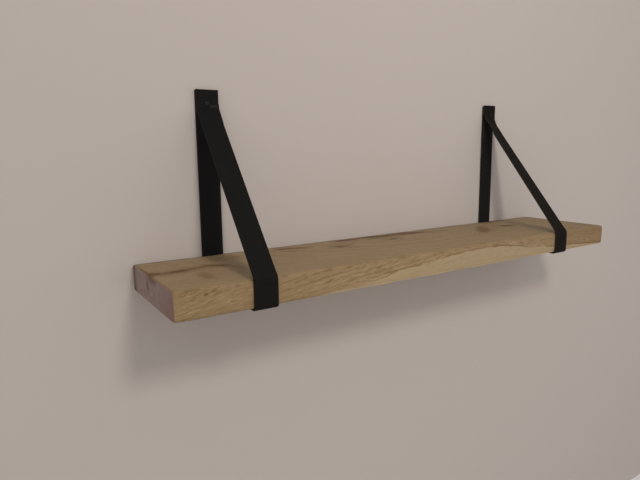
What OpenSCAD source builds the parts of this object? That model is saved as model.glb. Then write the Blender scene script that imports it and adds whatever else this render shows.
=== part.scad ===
// Hanging strap shelf: one thick oak plank carried in two leather strap loops.
// Each strap is a single strip. It runs down the wall behind the plank, under the plank,
// up over the front edge and back to the wall, where one screw holds both of its ends.
// The origin lies on the wall, at the mouth of the left wall plug. +X is to the right,
// +Z is up, and the room is on the -Y side of the wall.

/* [Plank] */
// Length of the plank along the wall
plank_l = 1000; // [800:10:1300]
// Depth of the plank, from the wall layer of the straps to its front face
plank_d = 203; // [140:1:300]
// Thickness of the plank
plank_t = 42; // [24:1:60]
// Radius of the eased edges that run along the plank, except the one at the top front
plank_arris = 3; // [1:0.5:3.5]
// Radius of the eased top front edge, where the straps come over it
plank_front_arris = 7; // [1:0.5:12]
// Radius of the eased edges round both ends of the plank
plank_end_arris = 2; // [0.5:0.5:4]
// How far the middle of the plank lies to the right of the middle between the straps
plank_shift = 14; // [-40:1:40]

/* [Straps] */
// Distance between the centre lines of the two straps
strap_spacing = 702; // [400:1:720]
// Width of the strap leather
strap_w = 38; // [20:1:60]
// Thickness of the strap leather
strap_t = 3; // [2:0.25:5]
// Height from the top face of the plank up to the wall screw
strap_rise = 252; // [160:1:400]
// Length of the free end above the wall screw
strap_tab = 24; // [14:1:50]
// How much lower the wall layer ends than the free end in front of it
layer_step = 2; // [0:0.5:6]

/* [Strap bends] */
// Radius of the hollow face where the strap leaves the wall under the screw
top_bend_r = 8; // [6:1:40]
// Radius of the inner face where the strap comes over the front edge of the plank
front_bend_r = 15; // [6:1:30]
// How far below the top face of the plank that bend begins
front_bend_start = 4.5; // [2:0.5:12]
// Radius of the inner face where the strap turns under the plank, front and rear
corner_bend_r = 3.5; // [3.5:0.5:8]

/* [Wall screws] */
// Diameter of the wall screw
wall_screw_d = 5; // [4:0.5:6]
// Length of the wall screw under its head
wall_screw_l = 50; // [45:1:80]
// Diameter of the wall screw's head
wall_head_d = 9.5; // [8:0.5:14]
// Height of the wall screw's head
wall_head_h = 3.4; // [2.6:0.1:5]

/* [Wall plugs] */
// Diameter of the plug, and of the hole that it needs in the wall
plug_d = 8; // [7:0.5:10]
// Length of the plug
plug_l = 40; // [25:1:44]
// Length of the split end that spreads in the wall
plug_split_l = 26; // [10:1:34]
// Width of each split
plug_split_w = 0.8; // [0.6:0.1:1.4]
// Length of the tapered nose
plug_nose_l = 1.5; // [0.5:0.1:3]

/* [Plank screws] */
// Diameter of the screw that fixes the strap under the plank
plank_screw_d = 3.5; // [2.5:0.5:4.5]
// Length of that screw under its head
plank_screw_l = 16; // [10:1:22]
// Diameter of that screw's head
plank_head_d = 7; // [6:0.5:10]
// Height of that screw's head
plank_head_h = 2.4; // [2:0.1:4]

/* [Fits] */
// Air between the strap and the plank all round
strap_fit = 0.3; // [0.2:0.05:0.6]
// Air between the two strap ends under the wall screw
layer_gap = 0.3; // [0.2:0.05:0.6]
// Clearance round each screw in the punched hole of the strap
hole_fit = 0.25; // [0.1:0.05:0.6]
// Clearance round each screw in its plug or pilot hole
screw_fit = 0.1; // [0.05:0.05:0.2]

/* [Hidden] */
$fn = 64;
// Spare length by which a cutting tool passes through what it cuts
over = 1;

// Distances from the wall, in the side view
plank_rear = strap_t + strap_fit;
plank_front = plank_rear + plank_d;
front_inner = plank_front + strap_fit;
tab_front = 2 * strap_t + layer_gap;

// Heights, measured from the wall screw
plank_top = -strap_rise;
plank_under = plank_top - plank_t;
base_inner = plank_under - strap_fit;
base_outer = base_inner - strap_t;
wall_layer_top = strap_tab - layer_step;
top_bend_z = -wall_head_d / 2;
front_bend_z = plank_top - front_bend_start;

// The straight stretch is tangent to the bend at the wall and to the bend over the plank
bend_run = front_inner - front_bend_r - tab_front - top_bend_r;
bend_rise = top_bend_z - front_bend_z;
bend_apart = norm([bend_run, bend_rise]);
bend_radii = front_bend_r + strap_t + top_bend_r;
lean = atan2(bend_run, bend_rise) + asin(bend_radii / bend_apart);
slope_l = sqrt(pow(bend_apart, 2) - pow(bend_radii, 2));

// The strip from its end on the wall to its free end: straight length, turn after it in
// degrees, and the radius of the hollow face in that turn
strap_steps = [
    [wall_layer_top - base_inner - corner_bend_r, 90, corner_bend_r],
    [front_inner - strap_t - 2 * corner_bend_r, 90, corner_bend_r],
    [front_bend_z - base_inner - corner_bend_r, lean, front_bend_r],
    [slope_l, -lean, top_bend_r],
    [strap_tab - top_bend_z, 0, 0]
];
// Largest step along a bend, in degrees
bend_step = 5;

plank_mid_y = -(plank_rear + plank_front) / 2;

function along(heading) = [cos(heading), sin(heading)];

function leftward(heading) = [-sin(heading), cos(heading)];

// Points of one face of the strip, at a distance to the left of the line that is walked.
// A positive turn goes to the left, and a negative one to the right.
function face_points(side, i, from, heading) =
    let (
        turn = strap_steps[i][1],
        hollow_r = strap_steps[i][2],
        parts = ceil(abs(turn) / bend_step),
        pivot = turn < 0 ? -strap_t - hollow_r : hollow_r,
        centre = from + strap_steps[i][0] * along(heading) + pivot * leftward(heading),
        end = heading + turn
    )
    concat(
        [for (k = [0 : parts])
            centre + (side - pivot) * leftward(heading + turn * k / max(parts, 1))],
        i < len(strap_steps) - 1
            ? face_points(side, i + 1, centre - pivot * leftward(end), end)
            : []
    );

// One face of the strip from its end on the wall, in the side view
function strap_face(side) =
    let (start = [strap_t, wall_layer_top], down = -90)
    concat([start + side * leftward(down)], face_points(side, 0, start, down));

function reversed(points) = [for (i = [len(points) - 1 : -1 : 0]) points[i]];

// A strap with its punched holes, on the plane x = 0
module strap() {
    difference() {
        rotate([90, 0, -90]) linear_extrude(strap_w, center = true)
            polygon(concat(strap_face(0), reversed(strap_face(-strap_t))));
        rotate([90, 0, 0])
            cylinder(h = 2 * (tab_front + over), d = wall_screw_d + 2 * hole_fit, center = true);
        translate([0, plank_mid_y, base_outer - over])
            cylinder(h = strap_t + 2 * over, d = plank_screw_d + 2 * hole_fit);
    }
}

// A flat shape with four round corners, centred on the origin. The corner at the upper
// left has a radius of its own.
module round_rect(size, r, upper_left_r) {
    hull()
        for (sx = [-1, 1], sy = [-1, 1])
            let (corner_r = sx < 0 && sy > 0 ? upper_left_r : r)
                translate([sx * (size.x / 2 - corner_r), sy * (size.y / 2 - corner_r)])
                    circle(r = corner_r);
}

// A board with its long edges and its end edges eased, centred on the origin. Its front
// is on the -Y side.
module eased_board(size, long_r, front_r, end_r) {
    intersection() {
        rotate([90, 0, 90]) linear_extrude(size.x, center = true)
            round_rect([size.y, size.z], long_r, front_r);
        linear_extrude(size.z + over, center = true)
            round_rect([size.x, size.y], end_r, end_r);
        rotate([90, 0, 0]) linear_extrude(size.y + over, center = true)
            round_rect([size.x, size.z], end_r, end_r);
    }
}

// A pan-head screw with a cross recess. Its shank points up from the seat of the head.
module pan_screw(d, l, head_d, head_h) {
    rim_h = head_h * 0.4;
    crown_h = head_h - rim_h;
    crown_r = (pow(head_d / 2, 2) + pow(crown_h, 2)) / (2 * crown_h);
    point_l = 1.6 * d;
    point_d = 0.15 * d;
    recess_w = 0.14 * head_d;
    recess_l = 0.55 * head_d;
    recess_h = 0.55 * head_h;
    difference() {
        intersection() {
            translate([0, 0, -head_h]) cylinder(h = head_h, d = head_d);
            translate([0, 0, crown_r - head_h]) sphere(r = crown_r, $fn = 128);
        }
        for (turn = [0, 90])
            rotate(turn) translate([0, 0, -head_h])
                cube([recess_l, recess_w, 2 * recess_h], center = true);
    }
    cylinder(h = l - point_l, d = d);
    translate([0, 0, l - point_l]) cylinder(h = point_l, d1 = d, d2 = point_d);
}

// A nylon plug with a crossed split at its far end, from its mouth at z = 0 upwards
module plug() {
    difference() {
        union() {
            cylinder(h = plug_l - plug_nose_l, d = plug_d);
            translate([0, 0, plug_l - plug_nose_l])
                cylinder(h = plug_nose_l, d1 = plug_d, d2 = plug_d - plug_nose_l);
        }
        translate([0, 0, -over])
            cylinder(h = plug_l + 2 * over, d = wall_screw_d + 2 * screw_fit);
        for (turn = [45, 135])
            rotate(turn) translate([-plug_d, -plug_split_w / 2, plug_l - plug_split_l])
                cube([2 * plug_d, plug_split_w, plug_split_l + over]);
    }
}

// Places its children at the left strap or at the right strap
module at_strap(side) {
    translate([side == "left" ? 0 : strap_spacing, 0, 0]) children();
}

module plank() {
    color("burlywood") difference() {
        translate([strap_spacing / 2 + plank_shift, plank_mid_y, plank_top - plank_t / 2])
            eased_board([plank_l, plank_d, plank_t], plank_arris, plank_front_arris,
                plank_end_arris);
        for (side = ["left", "right"])
            at_strap(side) translate([0, plank_mid_y, base_outer])
                cylinder(h = plank_screw_l + over, d = plank_screw_d + 2 * screw_fit);
    }
}

module strap_left() {
    color([0.11, 0.11, 0.11]) at_strap("left") strap();
}

module strap_right() {
    color([0.11, 0.11, 0.11]) at_strap("right") strap();
}

module wall_screw(side) {
    color([0.16, 0.16, 0.17]) at_strap(side) translate([0, -tab_front, 0])
        rotate([-90, 0, 0]) pan_screw(wall_screw_d, wall_screw_l, wall_head_d, wall_head_h);
}

module wall_screw_left() {
    wall_screw("left");
}

module wall_screw_right() {
    wall_screw("right");
}

module wall_plug(side) {
    color("lightgray") at_strap(side) rotate([-90, 0, 0]) plug();
}

module wall_plug_left() {
    wall_plug("left");
}

module wall_plug_right() {
    wall_plug("right");
}

module plank_screw(side) {
    color([0.16, 0.16, 0.17]) at_strap(side) translate([0, plank_mid_y, base_outer])
        pan_screw(plank_screw_d, plank_screw_l, plank_head_d, plank_head_h);
}

module plank_screw_left() {
    plank_screw("left");
}

module plank_screw_right() {
    plank_screw("right");
}

plank();
strap_left();
strap_right();
wall_screw_left();
wall_screw_right();
wall_plug_left();
wall_plug_right();
plank_screw_left();
plank_screw_right();
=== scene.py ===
"""Looks of the hanging strap shelf.

One thick oak plank hangs in two loops of black leather. A screw through the top of each
loop goes into a plug in the wall, and a small screw under the plank holds each loop in
its place. Sizes in the classes are millimetres, and the meshes are metres.
"""

import logging
import math
from abc import ABC, abstractmethod
from collections.abc import Iterable, Sequence
from dataclasses import dataclass, field
from enum import Enum
from functools import partial

import bmesh
import bpy
from mathutils import Euler, Matrix, Vector, noise


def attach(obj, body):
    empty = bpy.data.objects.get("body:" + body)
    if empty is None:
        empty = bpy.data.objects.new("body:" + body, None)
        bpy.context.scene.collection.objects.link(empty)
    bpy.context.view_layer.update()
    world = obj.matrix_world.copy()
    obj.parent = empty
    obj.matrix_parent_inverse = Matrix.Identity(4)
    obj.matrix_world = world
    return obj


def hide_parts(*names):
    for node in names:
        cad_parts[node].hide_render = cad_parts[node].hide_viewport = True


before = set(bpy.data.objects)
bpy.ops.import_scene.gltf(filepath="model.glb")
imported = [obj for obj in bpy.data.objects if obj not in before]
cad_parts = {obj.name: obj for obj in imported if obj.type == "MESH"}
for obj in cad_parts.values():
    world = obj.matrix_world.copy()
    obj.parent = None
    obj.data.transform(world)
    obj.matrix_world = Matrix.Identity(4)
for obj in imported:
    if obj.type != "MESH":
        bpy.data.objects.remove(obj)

LOG = logging.getLogger("strap_shelf")
MM = 0.001
# Where the plank's faces lie, in millimetres
LEFT_END, RIGHT_END = -135.0, 865.0
FRONT_Y, MIDDLE_Y = -206.3, -104.8
TOP_Z, UNDER_Z = -252.0, -294.0

Mesh = bmesh.types.BMesh
Socket = bpy.types.NodeSocket
Tree = bpy.types.NodeTree
Points = Sequence[tuple[float, float]]
Triple = tuple[float, float, float]


def linear(hex_code: str) -> tuple[float, float, float, float]:
    """Turns an sRGB hex colour into the linear colour that a shader takes.

    Args:
        hex_code: The colour as six hex digits.

    Returns:
        Red, green, blue and an alpha of 1.
    """
    parts = [int(hex_code[i:i + 2], 16) / 255 for i in (0, 2, 4)]
    return (*[c / 12.92 if c <= 0.04045 else ((c + 0.055) / 1.055) ** 2.4 for c in parts], 1.0)


def add(tree: Tree, kind: str, *values: object, out: int | str = 0,
        at: dict[int, object] | None = None, **named: object) -> Socket | None:
    """Adds one node with its settings and its links.

    Args:
        tree: The node tree that gets the node.
        kind: The node's type name, without the words ShaderNode in front.
        values: What goes into the first sockets, in order: a socket or a constant each.
        out: The output that is handed back.
        at: What goes into further sockets, by number.
        named: With a capital, what goes into the socket of that name, with _ for a
            space. Else the node's own property, or the points of its curve.

    Returns:
        The chosen output socket, or None from a node that ends a tree.
    """
    made = tree.nodes.new("ShaderNode" + kind)
    inputs = {**dict(enumerate(values)), **(at or {})}
    for name, value in named.items():
        if name[0].isupper():
            inputs[name.replace("_", " ")] = value
        elif name == "curve":
            draw_curve(made.mapping, value)
        else:
            setattr(made, name, value)
    for key, value in inputs.items():
        if isinstance(value, Socket):
            tree.links.new(value, made.inputs[key])
        else:
            made.inputs[key].default_value = value
    return made.outputs[out] if made.outputs else None


def draw_curve(mapping: bpy.types.CurveMapping, points: Points) -> None:
    """Gives a curve mapping these points, from left to right.

    Args:
        mapping: The mapping to fill. Its two first points become the ends.
        points: Positions and values, both from 0 to 1.
    """
    line = mapping.curves[0]
    line.points[0].location = points[0]
    line.points[1].location = points[-1]
    for point in points[1:-1]:
        line.points.new(*point)
    mapping.update()


def coated(tree: Tree, body: Socket | str, *coats: tuple) -> Socket:
    """Lays coats of colour over one another.

    Args:
        tree: The node tree that gets the nodes.
        body: The colour below them, as a socket or a hex code.
        coats: For each coat its colour, as a socket or a hex code, and then the masks
            and shares that are multiplied to give its strength.

    Returns:
        The colour that shows.
    """
    for colour, mask, *others in coats:
        for other in others:
            mask = add(tree, "Math", mask, other, operation="MULTIPLY")
        pair = [linear(c) if isinstance(c, str) else c for c in (body, colour)]
        body = add(tree, "Mix", mask, at={6: pair[0], 7: pair[1]}, out=2, data_type="RGBA")
    return body


class Finish(ABC):
    """What a surface is made of, as one procedural material."""

    title: str

    @abstractmethod
    def surface(self, tree: Tree) -> Socket:
        """Builds the shader and hands back its output."""

    def material(self) -> bpy.types.Material:
        """Makes the material once, and hands back the same one after that.

        Returns:
            The material.
        """
        made = bpy.data.materials.get(self.title)
        if made is None:
            made = bpy.data.materials.new(self.title)
            made.use_nodes = True
            made.node_tree.nodes.clear()
            add(made.node_tree, "OutputMaterial", self.surface(made.node_tree))
        return made


@dataclass(frozen=True)
class Knot:
    """A place where a twig grew: grain flows round it, and its heart is dark."""

    x: float
    y: float
    z: float
    heart: float
    reach: float
    dark: float


class Face(Enum):
    """The two large faces of the plank that show."""

    TOP = "top"
    FRONT = "front"


@dataclass(frozen=True)
class Mark:
    """A dark patch, an oval with frayed edges. Most are where the saw went through inbark or a
    small knot; two on the top are painted shadow of the left strap.
    """

    face: Face
    x: float
    # The place across the face: y on the top, z on the front
    across: float
    half_length: float
    half_width: float
    turn: float
    dark: float


@dataclass(frozen=True)
class OiledOak(Finish):
    """Sawn oak with a thin coat of oil: tan, open grained and nearly matt."""

    title: str = "oiled_oak"
    wood: str = "907958"
    pale_line: str = "a38d6a"
    dark_line: str = "765c3d"
    sapwood: str = "a38f70"
    fleck: str = "ad9772"
    end_wood: str = "806962"
    end_brown: str = "7a5d4f"
    end_pale: str = "a58f88"
    arris_line: str = "6b4a30"
    rubbed_edge: str = "c6b08a"
    stain: str = "4b3623"
    # Dark brown of knots, pores and the crack, which also lays the painted strap shadows among
    # the patches
    bark_and_shade: str = "573811"
    ring: float = 9.0
    # The tree's heart runs along below the plank, at this depth and height
    heart_at: Triple = (365.0, -60.0, -520.0)
    grain_reach: float = 80.0
    # Curves along the plank, from 0 at its left end to 1 at its right one: the rise of
    # the grain, the way and the strength of the long crack, the edge of the sapwood
    grain_rise: Points = (
        (0, 0), (0.135, 0.29), (0.235, 0.5), (0.335, 0.66), (0.435, 0.79), (0.585, 0.9),
        (0.735, 0.79), (0.865, 0.6), (1, 0.39))
    crack_way: Points = (
        (0, 0.42), (0.013, 0.363), (0.049, 0.377), (0.073, 0.42), (0.091, 0.445),
        (0.105, 0.417), (0.127, 0.343), (0.137, 0.17), (0.2, 0.6), (0.25, 0.82),
        (0.27, 0.8), (0.297, 0.73), (0.345, 0.58), (0.37, 0.52), (0.42, 0.74),
        (0.46, 0.73), (0.49, 0.6), (0.55, 0.73), (0.6, 0.7), (0.645, 0.68), (0.72, 0.42),
        (0.745, 0.36), (0.83, 0.5), (1, 0.55))
    crack_force: Points = (
        (0, 0.6), (0.03, 0.7), (0.049, 1), (0.06, 0.7), (0.075, 0.65), (0.1, 0.85),
        (0.13, 0.5), (0.17, 0), (0.24, 0.1), (0.26, 0.5), (0.3, 0.3), (0.33, 0),
        (0.36, 0.3), (0.41, 0.1), (0.45, 0.2), (0.5, 0.3), (0.53, 0.1), (0.6, 0.15),
        (0.65, 0.2), (0.69, 0), (0.73, 0.3), (0.77, 0), (1, 0.05))
    sap_edge: Points = (
        (0, 0), (0.2, 0.06), (0.25, 0.25), (0.3, 0.28), (0.33, 0.32), (0.35, 0.38),
        (0.39, 0.5), (0.44, 0.54), (0.485, 0.62), (0.53, 0.68), (0.56, 0.7), (0.6, 0.71),
        (0.65, 0.68), (0.68, 0.63), (0.71, 0.57), (0.73, 0.51), (0.76, 0.47),
        (0.785, 0.43), (0.81, 0.39), (0.865, 0.36), (0.9, 0.33), (0.95, 0.285), (1, 0.24))
    knots: tuple[Knot, ...] = tuple(Knot(*row) for row in (
        (-91, -206, -261, 2, 12, 0.8), (-86, -92, TOP_Z, 4.5, 14, 0.9),
        (226, -60, TOP_Z, 3, 16, 0.3), (355, -64, TOP_Z, 4, 22, 0.7),
        (687, -80, TOP_Z, 4, 18, 0.5)))
    marks: tuple[Mark, ...] = (*[Mark(Face.TOP, *row) for row in (
        (137, -33, 32, 5, -12, 1), (125, -54, 26, 4, -30, 0.8), (219, -66, 18, 6, -28, 0.7),
        (272, -20, 40, 10, -6, 0.9), (322, -39, 15, 4, -20, 0.6), (345, -22, 50, 15, -10, 0.9),
        (356, -62, 13, 9, -20, 0.7), (425, -27, 60, 16, -8, 0.85), (478, -54, 14, 5, -30, 0.5),
        # (0, -100) and (8, -44) are painted shadow of the left strap's slope and of its foot
        (602, -82, 60, 18, 43, 0.55), (0, -100, 14, 70, -11, 0.22), (8, -44, 34, 26, 0, 0.35),
        (687, -80, 26, 12, -20, 1), (712, -16, 45, 14, 0, 0.6), (-134, -76, 5, 42, 0, 0.75),
        (-127, -88, 12, 12, 0, 0.7), (-66, -142, 12, 28, 0, 0.4))],
        *[Mark(Face.FRONT, *row) for row in (
            (-128, -258.5, 5, 1.6, 10, 0.36), (-116, -255.8, 6, 1.6, 25, 0.36),
            (-104, -254, 7, 1.4, 10, 0.36), (-106, -262, 9, 1.4, 40, 0.34),
            (-81, -258.5, 11, 1.6, 20, 0.6), (-46, -255.9, 9, 1.4, 8, 0.4),
            (-103, -285.5, 9, 1.4, 8, 0.4), (-119, -291, 7, 1.6, 10, 0.45),
            (-104, -292.5, 8, 1.4, 12, 0.4), (86, -257, 13, 2.4, 6, 0.4),
            (104, -255, 8, 2, 10, 0.4), (152, -254.5, 16, 2, 6, 0.35))])

    def surface(self, tree: Tree) -> Socket:
        """Draws the oak."""
        return OakPattern(self, tree).shader()


class OakPattern:
    """The drawing of the oak in one node tree. Its sizes are in millimetres."""

    def __init__(self, oak: OiledOak, tree: Tree) -> None:
        """Measures each point of the plank in the ways that the patterns need.

        Args:
            oak: The finish, with its colours, curves, knots and marks.
            tree: The node tree that gets the nodes.
        """
        self.oak, self.tree, self.put = oak, tree, partial(add, tree)
        put = self.put
        self.place = put("VectorMath", put("TexCoord", out="Object"), Scale=1 / MM,
                         operation="SCALE")
        self.x, self.y, self.z = put("SeparateXYZ", self.place).node.outputs
        normal = put("VectorMath", put("NewGeometry", out="Normal"), operation="ABSOLUTE")
        self.endward, self.frontward, self.upward = put("SeparateXYZ", normal).node.outputs
        # Places seen from the tree's heart, which bows upwards along the plank
        rise = put("Math", self._along(*oak.grain_rise), -oak.grain_reach,
                   operation="MULTIPLY")
        lifted = put("VectorMath", self.place, put("CombineXYZ", Z=rise))
        self.leaning = put("VectorMath", lifted, oak.heart_at, operation="SUBTRACT")
        # The straight grain is bent into long slow waves with short ones on them
        self.flowing = self.leaning
        for stretch, size, reach in ((0.16, 85.0, 22.0), (0.25, 20.0, 5.0)):
            self.flowing = self._swayed(self.flowing, (0.0, reach, reach), self._clouds(
                self.leaning, size, 1.0, stretch, out="Color"))

    def _along(self, *points: tuple[float, float]) -> Socket:
        """Draws a curve of values along the plank, from its left end to its right one."""
        share = self.put("MapRange", self.x, LEFT_END, RIGHT_END)
        return self.put("FloatCurve", Value=share, curve=points)

    def _apart(self, first: Socket, second: Socket | float) -> Socket:
        """Measures how far apart two values are."""
        return self.put("Math", self.put("Math", first, second, operation="SUBTRACT"),
                        operation="ABSOLUTE")

    def _swayed(self, place: Socket, reach: Triple, clouds: Socket) -> Socket:
        """Moves places about as the colours of clouds say, by up to half of a reach."""
        away = self.put("VectorMath", clouds, (0.5, 0.5, 0.5), operation="SUBTRACT")
        return self.put("VectorMath", away, reach, place, operation="MULTIPLY_ADD")

    def _clouds(self, place: Socket, size: float, detail: float, stretch: float = 1.0,
                shift: Triple = (0.0, 0.0, 0.0), out: str = "Fac") -> Socket:
        """Draws clouds that are stretched along the plank.

        Args:
            place: The places that they follow.
            size: Their size across the plank.
            detail: How many steps of finer clouds lie on them.
            stretch: How fast they change along the plank, against across it.
            shift: How far the pattern is moved, so that no two are alike.
            out: Whether their value or their colour is read.

        Returns:
            The clouds, from 0 to 1.
        """
        place = self.put("Mapping", place, shift, Scale=(stretch, 1.0, 1.0))
        return self.put("TexNoise", place, Scale=1 / size, Detail=detail, out=out)

    def shader(self) -> Socket:
        """Puts rings, fibres, pores, knots, the long crack and the sapwood together.

        Returns:
            The shader's output.
        """
        put, oak = self.put, self.oak
        knot, push = self._knots()
        ring, phase = self._rings(push)
        # Fibres 2 mm wide, and the pale flecks of the rays among them
        streak = put("MapRange", self._clouds(self.flowing, 2.2, 3.0, 0.14), 0.3, 0.7)
        fleck = put("MapRange", self._clouds(self.flowing, 1.7, 1.0, 0.14, (60.0, 0.0, 0.0)),
                    0.59, 0.73)
        crack, halo = self._crack()
        sap, rim, ridge_highlight = self._sapwood()
        # The patches, two of them painted shadow of the left strap, are darkest between the
        # fibres
        mark = put("Math", self._marks(), put("MapRange", streak, 0.2, 0.8, 1.3, 0.7),
                   operation="MULTIPLY", use_clamp=True)
        calm = put("MapRange", sap, 0, 1, 1.0, 0.35)
        pore = put("Math", self._pores(phase), calm, operation="MULTIPLY")
        on_front = put("MapRange", self.frontward, 0.3, 0.8)
        chip = put("Math", self._chips(), on_front, operation="MULTIPLY")
        chip = put("Math", chip, calm, operation="MULTIPLY")
        # Hands and sanding have smoothed the front's top few millimetres, unevenly
        ragged = put("Math", self._clouds(self.leaning, 6.0, 2.0, 0.3), 14.0, self.z,
                     operation="MULTIPLY_ADD")
        for mask in (put("MapRange", ragged, TOP_Z - 5.0, TOP_Z + 2.0, 1.0, 0.15),
                     self._along((0, 1), (0.74, 1), (0.84, 0.5), (0.89, 0.85), (1, 0.8))):
            on_front = put("Math", on_front, mask, operation="MULTIPLY")
        tone = put("Mix", 0.6, at={2: ring, 3: streak})
        lines = coated(self.tree, oak.dark_line, (oak.pale_line, tone))
        lively = put("MapRange", self._along(
            (0, 0), (0.22, 0), (0.32, 0.8), (0.55, 1), (0.68, 0.5), (0.76, 0), (1, 0)),
            0, 1, 1.0, 1.5)
        contrast = put("Math", put("MapRange", on_front, 0, 1, 0.28, 0.6), lively,
                       operation="MULTIPLY", use_clamp=True)
        broad = put("MapRange", self._clouds(self.place, 26.0, 2.0, 0.22), 0.3, 0.7)
        # The board is drawn darker towards its ends
        darker_towards_ends = put("Mix", self.frontward, at={
            2: self._along((0, 0), (0.82, 0), (1, 0.4)),
            3: self._along((0, 0.32), (0.14, 0.25), (0.26, 0), (0.8, 0), (0.88, 0.3),
                           (1, 0.4))})
        # The lower front edge is rubbed pale where it is sapwood
        low = put("MapRange", self.z, UNDER_Z + 2.0, UNDER_Z + 4.5, 0.8, 0.0)
        near = put("MapRange", self.y, -203.0, -200.0, 1.0, 0.0)
        pale_from = self._along((0, 0.2), (0.2, 0.25), (0.26, 0.9), (0.5, 1), (1, 1))
        left_rim = put("MapRange", self.x, LEFT_END + 1.5, LEFT_END + 5.5, 0.5, 0.0)
        body = coated(
            self.tree, oak.wood, (lines, contrast), (oak.dark_line, broad, 0.16),
            (oak.dark_line, darker_towards_ends), (coated(self.tree, oak.sapwood, (lines, 0.3)), sap),
            # The fleck colour also lays the painted highlight of the ridge above the sapwood's
            # edge
            (oak.fleck, fleck, on_front, 0.45), (oak.fleck, ridge_highlight, 0.6),
            (oak.bark_and_shade, pore, 0.3), (oak.bark_and_shade, rim, 0.55), (oak.bark_and_shade, halo, 0.5),
            (oak.bark_and_shade, crack, 0.85), (oak.bark_and_shade, mark, 0.85), (oak.bark_and_shade, knot, 0.8),
            (oak.bark_and_shade, chip, 0.32), (oak.rubbed_edge, low, near, pale_from),
            (oak.arris_line, left_rim, self.upward),
            (self._ends(ring), put("MapRange", self.endward, 0.55, 0.9)))
        relief = put("Math", streak, 0.5, operation="MULTIPLY")
        for depth, mask in ((0.5, pore), (1.2, crack), (0.8, knot), (0.6, chip)):
            relief = put("Math", mask, -depth, relief, operation="MULTIPLY_ADD")
        bump = put("Bump", put("MapRange", on_front, 0, 1, 0.1, 0.4), 0.6 * MM,
                   Height=relief)
        return put("BsdfPrincipled", Base_Color=body, IOR=1.5, Specular_IOR_Level=0.2,
                   Roughness=put("MapRange", streak, 0, 1, 0.72, 0.62), Normal=bump)

    def _chips(self) -> Socket:
        """Marks the short dark tears that the saw left, most of them below the top edge."""
        tear = self.put("Math", self._clouds(self.leaning, 3.6, 2.0, 0.16, (0.0, 30.0, 10.0)),
                        self.put("MapRange", self.z, -276.0, -259.0, 0.0, 0.08))
        return self.put("MapRange", tear, 0.6, 0.72)

    def _marks(self) -> Socket:
        """Draws the dark patches, each an oval with frayed edges.

        Returns:
            How dark each point is.
        """
        frayed = self._swayed(self.place, (30.0, 12.0, 7.0), self._clouds(
            self.place, 6.0, 4.0, 0.4, out="Color"))
        dark = 0.0
        for one in self.oak.marks:
            turn = math.radians(one.turn)
            lies = ((one.x, one.across, TOP_Z), (0.0, 0.0, turn),
                    (one.half_length, one.half_width, 10.0))
            if one.face is Face.FRONT:
                lies = ((one.x, FRONT_Y, one.across), (0.0, -turn, 0.0),
                        (one.half_length, 12.0, one.half_width))
            local = self.put("Mapping", frayed, *lies, vector_type="TEXTURE")
            away = self.put("VectorMath", local, out="Value", operation="LENGTH")
            oval = self.put("MapRange", away, 0.5, 1.12, one.dark, 0.0,
                            interpolation_type="SMOOTHSTEP")
            dark = self.put("Math", dark, oval, operation="MAXIMUM")
        return dark

    def _ends(self, ring: Socket) -> Socket:
        """Colours the end grain, darker at the back with painted shade that is strongest low
        down, and with a short slanting crack.

        Args:
            ring: How pale the year rings are.

        Returns:
            The colour.
        """
        put, oak = self.put, self.oak
        cloud = self._clouds(self.flowing, 9.0, 3.0)
        # Oil has soaked into the lower front corner
        low = put("Math", put("Math", self.y, self.z), -1.0, operation="MULTIPLY")
        # Painted shade: darker towards the wall behind, and strongest at the bottom, where the
        # wall's contact shadow lies
        back = put("MapRange", put("Math", cloud, 18.0, self.y, operation="MULTIPLY_ADD"),
                   -19.0, -2.0, 0.0, put("MapRange", self.z, -291.0, -278.0, 1.0, 0.65))
        # The crack is nearly upright, 85 mm from the wall, and a pale band lies round it
        line = put("Math", self.z, 0.4, 25.7, operation="MULTIPLY_ADD")
        line = put("Math", cloud, -8.0, line, operation="MULTIPLY_ADD")
        cracks = [put("MapRange", self._apart(self.y, line), near, far, force, 0.0,
                      interpolation_type="SMOOTHSTEP")
                  for near, far, force in ((4.0, 26.0, 0.45), (3.0, 13.0, 0.75))]
        short = put("MapRange", self._apart(self.z, -269.0), 3.0, 11.0, 1.0, 0.0)
        # Beside it a dark patch hangs down from the top edge
        patch = put("MapRange", self.z, -265.0, -255.0, 0.0, 0.6)
        beside = put("MapRange", self._apart(self.y, -108.0), 8.0, 34.0, 1.0, 0.0)
        return coated(
            self.tree, oak.end_wood, (oak.stain, put("MapRange", ring, 0, 1, 0.12, 0.0)),
            (oak.end_pale, put("MapRange", cloud, 0.45, 0.75, 0.0, 0.3)),
            # The stain colour also lays the painted shade at the back here
            (oak.end_brown, put("MapRange", low, 425.0, 490.0)), (oak.stain, back),
            (oak.end_pale, cracks[0], short), (oak.stain, cracks[1], short),
            (oak.stain, patch, beside))

    def _knots(self) -> tuple[Socket, Socket]:
        """Marks the knots, which are twice as long as they are wide.

        Returns:
            The dark hearts, and how far the rings are pushed aside.
        """
        slim = 0.45
        place = self.put("VectorMath", self.place, (slim, 1.0, 1.0), operation="MULTIPLY")
        dark = push = 0.0
        for one in self.oak.knots:
            near = self.put("VectorMath", place, (slim * one.x, one.y, one.z), out="Value",
                            operation="DISTANCE")
            heart, side = (
                self.put("MapRange", near, low, high, force, 0.0,
                         interpolation_type="SMOOTHSTEP")
                for low, high, force in ((0.3 * one.heart, 1.3 * one.heart, one.dark),
                                         (0.0, one.reach, 0.7 * one.heart + 2.0)))
            dark = self.put("Math", dark, heart, operation="MAXIMUM")
            push = self.put("Math", push, side)
        return dark, push

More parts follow.
